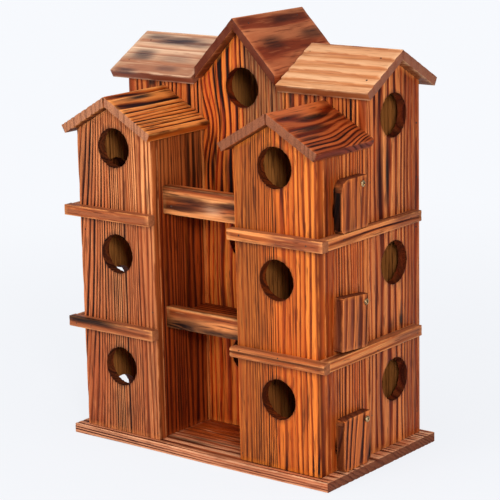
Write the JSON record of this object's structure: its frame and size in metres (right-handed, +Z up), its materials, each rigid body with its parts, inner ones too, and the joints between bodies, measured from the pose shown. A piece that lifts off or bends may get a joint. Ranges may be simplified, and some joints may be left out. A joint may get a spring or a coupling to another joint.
{
  "type": "multi-chamber birdhouse",
  "caption": "Scorched fir birdhouse of stacked nesting rooms: front towers with pitched roofs, a tall gabled block behind, round entrances and pivoting clean-out doors.",
  "frame": {"origin": "middle of the base's underside, below the middle of the whole outline", "axes": "+X to the right of the front view, +Y to the back, +Z up"},
  "size_m": [0.391, 0.2374, 0.521],
  "materials": {
    "wall_wood": "scorched fir, satin",
    "inner_wood": "dark scorched fir, satin",
    "base_wood": "dark scorched fir, satin",
    "shelf_wood": "scorched fir, satin",
    "trim_wood": "lightly scorched fir, satin",
    "door_wood": "scorched fir, satin",
    "tower_roof_wood": "scorched fir, satin",
    "side_roof_wood": "lightly scorched fir, satin",
    "centre_roof_wood": "dark scorched fir, satin",
    "screw_steel": "bright zinc plated"
  },
  "bodies": {
    "house": {"base_board": "base_wood", "left_tower_front": "wall_wood", "right_tower_front": "wall_wood", "left_tower_outer_wall": "wall_wood", "right_tower_outer_wall": "wall_wood", "left_tower_inner_wall": "inner_wood", "right_tower_inner_wall": "inner_wood", "left_tower_lower_floor": "inner_wood", "left_tower_upper_floor": "inner_wood", "right_tower_lower_floor": "inner_wood", "right_tower_upper_floor": "inner_wood", "centre_front": "wall_wood", "left_block_front": "wall_wood", "right_block_front": "wall_wood", "centre_back": "inner_wood", "left_block_back": "inner_wood", "right_block_back": "inner_wood", "left_side_wall": "wall_wood", "right_side_wall": "wall_wood", "left_partition": "inner_wood", "right_partition": "inner_wood", "left_block_lower_floor": "inner_wood", "left_block_upper_floor": "inner_wood", "right_block_lower_floor": "inner_wood", "right_block_upper_floor": "inner_wood", "centre_lower_floor": "inner_wood", "centre_upper_floor": "inner_wood", "lower_shelf": "shelf_wood", "upper_shelf": "shelf_wood", "lower_shelf_front": "shelf_wood", "upper_shelf_front": "shelf_wood", "left_tower_roof_outer": "tower_roof_wood", "left_tower_roof_inner": "tower_roof_wood", "right_tower_roof_outer": "tower_roof_wood", "right_tower_roof_inner": "tower_roof_wood", "left_roof_front": "side_roof_wood", "left_roof_back": "side_roof_wood", "right_roof_front": "side_roof_wood", "right_roof_back": "side_roof_wood", "centre_roof_left": "centre_roof_wood", "centre_roof_right": "centre_roof_wood", "left_front_trim_lower": "trim_wood", "left_front_trim_upper": "trim_wood", "right_front_trim_lower": "trim_wood", "right_front_trim_upper": "trim_wood", "left_side_trim_lower": "trim_wood", "left_side_trim_upper": "trim_wood", "right_side_trim_lower": "trim_wood", "right_side_trim_upper": "trim_wood", "door_screws": "screw_steel"},
    "left_door_lower": {"left_door_lower": "door_wood"},
    "left_door_middle": {"left_door_middle": "door_wood"},
    "left_door_upper": {"left_door_upper": "door_wood"},
    "right_door_lower": {"right_door_lower": "door_wood"},
    "right_door_middle": {"right_door_middle": "door_wood"},
    "right_door_upper": {"right_door_upper": "door_wood"}
  },
  "joints": [
    {"name": "left_door_lower_pivot", "type": "hinge", "parent": "house", "child": "left_door_lower", "pos_m": [-0.1863, -0.03025, 0.06632], "axis": [-1, 0, 0], "range_deg": [-195, 75]},
    {"name": "left_door_middle_pivot", "type": "hinge", "parent": "house", "child": "left_door_middle", "pos_m": [-0.1863, -0.03025, 0.20705], "axis": [-1, 0, 0], "range_deg": [-195, 75]},
    {"name": "left_door_upper_pivot", "type": "hinge", "parent": "house", "child": "left_door_upper", "pos_m": [-0.1863, -0.03475, 0.34554], "axis": [-1, 0, 0], "range_deg": [0, 65]},
    {"name": "right_door_lower_pivot", "type": "hinge", "parent": "house", "child": "right_door_lower", "pos_m": [0.1863, -0.03025, 0.06632], "axis": [-1, 0, 0], "range_deg": [0, 270]},
    {"name": "right_door_middle_pivot", "type": "hinge", "parent": "house", "child": "right_door_middle", "pos_m": [0.1863, -0.03025, 0.20705], "axis": [-1, 0, 0], "range_deg": [-5, 265]},
    {"name": "right_door_upper_pivot", "type": "hinge", "parent": "house", "child": "right_door_upper", "pos_m": [0.1863, -0.03475, 0.34554], "axis": [-1, 0, 0], "range_deg": [0, 65]}
  ]
}
